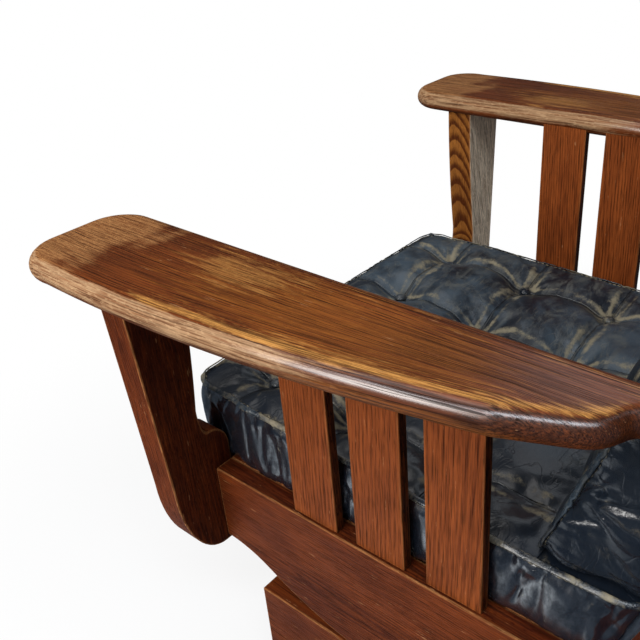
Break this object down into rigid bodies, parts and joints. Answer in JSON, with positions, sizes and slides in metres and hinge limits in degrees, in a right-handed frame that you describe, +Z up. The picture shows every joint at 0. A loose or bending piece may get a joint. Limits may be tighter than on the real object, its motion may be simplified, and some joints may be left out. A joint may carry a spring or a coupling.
{
  "type": "platform rocking chair",
  "caption": "Low oak rocking armchair with wide paddle arms, slatted sides and loose tufted leather cushions, whose seat rolls on cam shaped rails over a sprung base.",
  "frame": {"origin": "on the floor under the middle of the chair's bounding box, chair level", "axes": "+Z up, -Y towards the front of the chair, +X towards the sitter's left"},
  "size_m": [0.813, 0.8396, 0.9502],
  "materials": {
    "arm_oak": "dark stained oak, worn lighter on top, satin",
    "frame_oak": "red brown stained oak, satin",
    "slat_oak": "orange brown stained oak, satin",
    "plain_oak": "unstained oak, matt",
    "leather": "blue black leather, creased, semi gloss",
    "button_leather": "leather covered buttons",
    "iron": "blackened iron",
    "spring_steel": "oiled spring wire",
    "screw_steel": "dull steel",
    "glide_steel": "dull nickel"
  },
  "bodies": {
    "base": {"base_side_left": "frame_oak", "base_side_right": "frame_oak", "base_rail_front": "frame_oak", "base_rail_rear": "frame_oak", "base_dowels": "plain_oak", "lower_bracket_left": "iron", "lower_bracket_right": "iron", "lower_bracket_screws": "screw_steel", "floor_glides": "glide_steel", "spring_left_front": "spring_steel", "spring_left_rear": "spring_steel", "spring_right_front": "spring_steel", "spring_right_rear": "spring_steel"},
    "chair": {"arm_left": "arm_oak", "arm_right": "arm_oak", "front_post_left": "frame_oak", "front_post_right": "frame_oak", "back_post_left": "frame_oak", "back_post_right": "frame_oak", "side_rail_left": "frame_oak", "side_rail_right": "frame_oak", "side_slat_left_1": "slat_oak", "side_slat_left_2": "slat_oak", "side_slat_left_3": "slat_oak", "side_slat_right_1": "slat_oak", "side_slat_right_2": "slat_oak", "side_slat_right_3": "slat_oak", "front_rail": "frame_oak", "rear_rail": "frame_oak", "crest_rail": "frame_oak", "lower_back_rail": "frame_oak", "back_slat_1": "slat_oak", "back_slat_2": "slat_oak", "back_slat_3": "slat_oak", "back_slat_4": "slat_oak", "back_slat_5": "slat_oak", "seat_cleats": "plain_oak", "deck_slat_1": "frame_oak", "deck_slat_2": "frame_oak", "deck_slat_3": "frame_oak", "deck_slat_4": "frame_oak", "deck_slat_5": "frame_oak", "deck_slat_6": "frame_oak", "corner_blocks": "plain_oak", "seat_cushion": "leather", "back_cushion": "leather", "seat_buttons": "button_leather", "back_buttons": "button_leather", "frame_dowels": "plain_oak", "cleat_screws": "screw_steel", "upper_bracket_left": "iron", "upper_bracket_right": "iron", "upper_bracket_screws": "screw_steel"}
  },
  "joints": [
    {"name": "rock", "type": "hinge", "parent": "base", "child": "chair", "pos_m": [0, -0.0588, 0.16], "axis": [1, 0, 0], "range_deg": [-8, 6], "stiffness_Nm_per_rad": 340, "springref_deg": 5.16, "deforming": ["spring_left_front", "spring_left_rear", "spring_right_front", "spring_right_rear"]}
  ]
}
